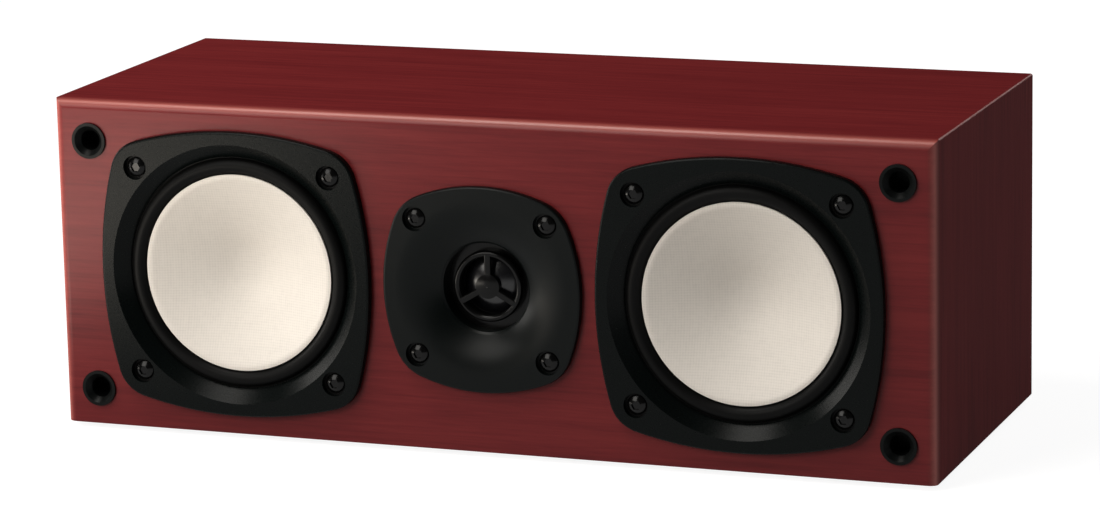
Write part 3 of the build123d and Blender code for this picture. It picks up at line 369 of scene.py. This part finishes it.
def dress_nodes():
    """Gives every CAD node the finish of its material slot."""
    for name, node in frame["nodes"].items():
        node.data.materials.clear()
        node.data.materials.append(FINISHES[SLOTS[name]])
    for side in SIDES:
        frame["nodes"][f"{side}_panel"].data.materials[0] = SIDE_VENEER
    frame["nodes"]["front_baffle"].data.materials[0] = BAFFLE_VENEER


# Surfaces


def arc(centre, radius, start, end, count):
    """Points (radius, depth) of an arc: centre plus its radius times the sine and minus the cosine."""
    angle = np.radians(np.linspace(start, end, count))
    return np.stack([centre[0] + radius * np.sin(angle), centre[1] - radius * np.cos(angle)], 1)


def line(start, end, count):
    """Evenly spaced points of a straight stretch."""
    share = np.linspace(0.0, 1.0, count)[:, None]
    return np.array(start) * (1 - share) + np.array(end) * share


def lathe(name, outline, axis):
    """Closed surface of revolution about a line along Y.

    A closed outline of (radius, depth) points is carried round the axis: x = axis + radius cos t,
    z = axis + radius sin t, y = depth. Points on the axis are one shared vertex.
    """
    keep = np.ones(len(outline), bool)
    keep[1:] = np.abs(np.diff(outline, axis=0)).sum(1) > SAME_POINT
    outline = outline[keep]
    turn = np.arange(TURNS) * (2 * pi / TURNS)
    radius, depth = outline[:, :1], outline[:, 1:]
    x = axis[0] + radius * np.cos(turn)
    z = axis[1] + radius * np.sin(turn)
    points = np.stack([x, depth + 0 * x, z], 2).reshape(-1, 3) * MM
    row = np.arange(len(outline))[:, None]
    column = np.arange(TURNS)[None, :]
    after_row = (row + 1) % len(outline)
    after_column = (column + 1) % TURNS
    quads = np.stack(
        [
            row * TURNS + column,
            after_row * TURNS + column,
            after_row * TURNS + after_column,
            row * TURNS + after_column,
        ],
        2,
    )
    return surface(name, points, quads.reshape(-1, 4))


def surface(name, points, quads):
    """Mesh of points and four-cornered faces: doubles merged, empty faces dropped, normals outwards."""
    mesh = bpy.data.meshes.new(name)
    mesh.from_pydata(points.tolist(), [], quads.tolist())
    close_up(mesh)
    mesh.polygons.foreach_set("use_smooth", np.ones(len(mesh.polygons), bool))
    mesh.set_sharp_from_angle(angle=radians(SHARP_ANGLE))
    made = bpy.data.objects.new(name, mesh)
    bpy.context.scene.collection.objects.link(made)
    return made


def close_up(mesh):
    """Merges the points that meet on an axis and turns all faces outwards."""
    shape = bmesh.new()
    shape.from_mesh(mesh)
    bmesh.ops.remove_doubles(shape, verts=shape.verts, dist=MERGE_DISTANCE)
    bmesh.ops.dissolve_degenerate(shape, edges=shape.edges, dist=EMPTY_EDGE)
    bmesh.ops.recalc_face_normals(shape, faces=shape.faces)
    shape.to_mesh(mesh)
    shape.free()


def middle(node):
    """Axis (x, z) of a round CAD node, its outer radius, and its front and back depth, in millimetres."""
    low, high = (np.array(corner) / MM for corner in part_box(node))
    centre = (low + high) / 2
    return (centre[0], centre[2]), (high[0] - low[0]) / 2, low[1], high[1]


def stand_for(piece, node, body=None):
    """The piece takes the place, finish and body of a CAD node."""
    slot = SLOTS[node]
    piece.data.materials.append(FINISHES[slot])
    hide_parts(node)
    if body:
        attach(piece, body)
    return piece


def flexes(piece, axis, held, free):
    """Bakes the piece's place into its mesh and works out, for each point, a share of a moving body: 0 at one
    radius, 1 at another.

    Between them the share is a smooth step of the radius, 3 s^2 - 2 s^3. The share isn't kept, so the piece
    stays still.
    """
    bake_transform(piece)
    points = np.empty(len(piece.data.vertices) * 3)
    piece.data.vertices.foreach_get("co", points)
    points = points.reshape(-1, 3) / MM
    radius = np.hypot(points[:, 0] - axis[0], points[:, 2] - axis[1])
    share = np.clip((radius - held) / (free - held), 0.0, 1.0)
    share = share * share * (3 - 2 * share)


def woofer_cone(side):
    """Dished cone with a neck, turned about the driver's axis.

    Its front is a flat lip, a straight flank and a spherical bowl that leaves the flank at the flank's slope.
    Its back is the same line, one wall further back, and the neck stands on it.
    """
    node = f"{side}_woofer_cone"
    axis, rim, front, neck_end = middle(node)
    slope = radians(CONE_SLOPE)
    lip = rim - CONE_LIP
    flank = CONE_BOWL * sin(slope)
    drop = (lip - flank) * np.tan(slope)
    sphere = front + drop - CONE_BOWL * cos(slope)
    bowl = arc((0, sphere), CONE_BOWL, 180, 180 - CONE_SLOPE, BOWL_POINTS)
    straight = line((flank, front + drop), (lip, front), FLANK_POINTS)
    dish = np.concatenate([bowl, straight, line((lip, front), (rim, front), LIP_POINTS)])
    neck_outer = NECK_INNER + NECK_WALL
    behind = dish[::-1] + (0, CONE_WALL)
    outside = behind[behind[:, 0] > neck_outer]
    inside = behind[behind[:, 0] < NECK_INNER]
    root = front + CONE_WALL + drop - (neck_outer - flank) * np.tan(slope)
    corners = [(neck_outer, root), (neck_outer, neck_end), (NECK_INNER, neck_end), (NECK_INNER, root)]
    outline = np.concatenate([dish, outside, np.array(corners), inside])
    stand_for(lathe(f"{side}_dished_cone", outline, axis), node, f"{side}_cone")


def roll_outline(inner, outer, centre, radius, wall, back):
    """Closed outline of two flat lands joined by a half roll to the front, of one wall thickness."""
    front = back - wall
    over = arc((centre, back), radius, -90, 90, ROLL_POINTS)
    under = arc((centre, back), radius - wall, 90, -90, ROLL_BACK_POINTS)
    return np.concatenate(
        [
            line((inner, front), (centre - radius, front), LAND_POINTS),
            over[over[:, 1] <= front],
            line((centre + radius, front), (outer, front), LAND_POINTS),
            line((outer, back), under[0], LAND_POINTS),
            under,
            line(under[-1], (inner, back), LAND_POINTS),
        ]
    )


def woofer_surround(side):
    """Rubber half roll between the cone's lip and the frame's collar, turned about the driver's axis."""
    node = f"{side}_woofer_surround"
    axis, outer, crest, back = middle(node)
    rim = middle(f"{side}_woofer_cone")[1]
    radius = back - crest
    centre = rim + ROLL_GAP + radius
    outline = roll_outline(rim - CONE_LIP + GLUE_GAP, outer, centre, radius, ROLL_WALL, back)
    piece = stand_for(lathe(f"{side}_rubber_roll", outline, axis), node)
    flexes(piece, axis, centre + radius, centre - radius)


def woofer_spider(side):
    """Corrugated centring disc: depth = wave height times the sine of the radius between two flat lands."""
    node = f"{side}_woofer_spider"
    axis, outer, front, back = middle(node)
    inner = middle(f"{side}_woofer_voice_coil")[1] - WINDING_LAP
    height = (back - front - SPIDER_WALL) / 2
    radius = np.linspace(inner, outer, SPIDER_POINTS)
    start, end = inner + SPIDER_INNER_LAND, outer - SPIDER_OUTER_LAND
    phase = np.clip((radius - start) / (end - start), 0.0, 1.0) * SPIDER_WAVES * pi
    depth = front + height - height * np.sin(phase)
    face = np.stack([radius, depth], 1)
    outline = np.concatenate([face, face[::-1] + (0, SPIDER_WALL)])
    piece = stand_for(lathe(f"{side}_centring_disc", outline, axis), node)
    flexes(piece, axis, end, start)


def tweeter_suspension():
    """Coated cloth half roll round the dome, turned about the tweeter's axis."""
    node = "tweeter_suspension"
    axis, outer, crest, back = middle(node)
    inner = middle("tweeter_dome")[1] + GLUE_GAP
    radius = back - crest
    outline = roll_outline(inner, outer, inner + radius, radius, SUSPENSION_WALL, back)
    piece = stand_for(lathe("dome_roll", outline, axis), node)
    flexes(piece, axis, inner + 2 * radius, inner + DOME_LAND)


# Stage, in metres

FLOOR_REACH = 12.0
FLOOR_TONE = 0.24
FLOOR_MOTTLE = 0.02
FLOOR_GLOW = 0.9
WORLD_GLOW = 0.07
MIDDLE = (0.0, 0.0, 0.06)
AMBER = (1.0, 0.92, 0.80)
WARM = (1.0, 0.97, 0.92)
WHITE = (1.0, 1.0, 1.0)
COOL = (0.94, 0.97, 1.0)

# Place and target, width and height, brightness of the face, colour
SOFTBOXES = {
    "front_left": ((-0.50, -1.00, 0.62), MIDDLE, (0.6, 0.6), 6.3, WARM),
    "floor_left": ((-0.335, -0.39, 0.003), (-0.335, -0.38, 1.0), (0.17, 0.44), 13.5, AMBER),
    "far_left": ((-1.0, -0.20, 0.27), MIDDLE, (0.45, 0.50), 9.0, WARM),
    "overhead": ((-0.40, -0.40, 1.10), (-0.40, 0.0, 0.06), (0.5, 0.5), 10.5, WARM),
    "right": ((0.90, -0.30, 0.30), MIDDLE, (0.4, 0.4), 0.8, COOL),
    "rear_right": ((0.40, 1.05, 0.50), MIDDLE, (0.6, 0.6), 5.0, WHITE),
}


def floor():
    """Wide white floor that keeps the object's soft shadow."""
    ends = ((-1, -1), (1, -1), (1, 1), (-1, 1))
    mesh = bpy.data.meshes.new("floor")
    mesh.from_pydata([(x * FLOOR_REACH, y * FLOOR_REACH, 0) for x, y in ends], [], [(0, 1, 2, 3)])
    made = bpy.data.objects.new("floor", mesh)
    bpy.context.scene.collection.objects.link(made)
    finish = Finish("white_floor", Roughness=1.0, Specular_IOR_Level=0.0)
    tone = finish.noise(finish.place(), scale=0.004)
    shades = [(at, (FLOOR_TONE + at * FLOOR_MOTTLE,) * 3) for at in (0.0, 1.0)]
    path = finish.node("ShaderNodeLightPath").outputs
    seen = finish.maths("ADD", path["Is Camera Ray"], path["Is Glossy Ray"])
    seen = finish.maths("ADD", seen, path["Is Transmission Ray"])
    glow = finish.maths("MULTIPLY", finish.maths("MINIMUM", seen, 1.0), FLOOR_GLOW)
    finish.give(Base_Color=finish.ramp(tone, shades), Emission_Color=WHITE, Emission_Strength=glow)
    mesh.materials.append(finish.material)


def softbox(name, place, target, size, glow, colour):
    """Area lamp of a width and height that faces a target; glow is the brightness of its face."""
    lamp = bpy.data.lights.new(name, "AREA")
    lamp.shape = "RECTANGLE"
    lamp.size, lamp.size_y = size
    lamp.color = colour
    lamp.energy = glow * pi * size[0] * size[1]
    made = bpy.data.objects.new(name, lamp)
    made.location = place
    made.rotation_euler = (Vector(target) - Vector(place)).to_track_quat("-Z", "Y").to_euler()
    bpy.context.scene.collection.objects.link(made)


def lights():
    """The softboxes and a faint grey world."""
    for name, row in SOFTBOXES.items():
        softbox(name, *row)
    world = bpy.data.worlds.new("grey_studio")
    world.use_nodes = True
    backdrop = world.node_tree.nodes["Background"]
    backdrop.inputs["Color"].default_value = (*WHITE, 1.0)
    backdrop.inputs["Strength"].default_value = WORLD_GLOW
    bpy.context.scene.world = world


def camera():
    """Camera at the photograph's place: azimuth, elevation and a slight roll, with no shift."""
    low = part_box("front_baffle")[0]
    azimuth, elevation, roll = (radians(a) for a in (EYE_AZIMUTH, EYE_ELEVATION, EYE_ROLL))
    ahead = Vector((-sin(azimuth) * cos(elevation), cos(azimuth) * cos(elevation), -sin(elevation)))
    level = Vector((cos(azimuth), sin(azimuth), 0.0))
    rise = level.cross(ahead)
    right = level * cos(roll) + rise * sin(roll)
    up = right.cross(ahead)
    turn = Matrix((right, up, -ahead)).transposed().to_4x4()
    lens = bpy.data.cameras.new("camera")
    lens.lens = LENS
    lens.sensor_width = SENSOR
    lens.sensor_fit = "HORIZONTAL"
    made = bpy.data.objects.new("camera", lens)
    made.matrix_world = Matrix.Translation(Vector(EYE) * MM + Vector((0, low.y, low.z))) @ turn
    bpy.context.scene.collection.objects.link(made)
    bpy.context.scene.camera = made


dress_nodes()
for side in SIDES:
    woofer_cone(side)
    woofer_surround(side)
    woofer_spider(side)
tweeter_suspension()
floor()
lights()
camera()
bpy.context.scene.view_settings.view_transform = "Standard"
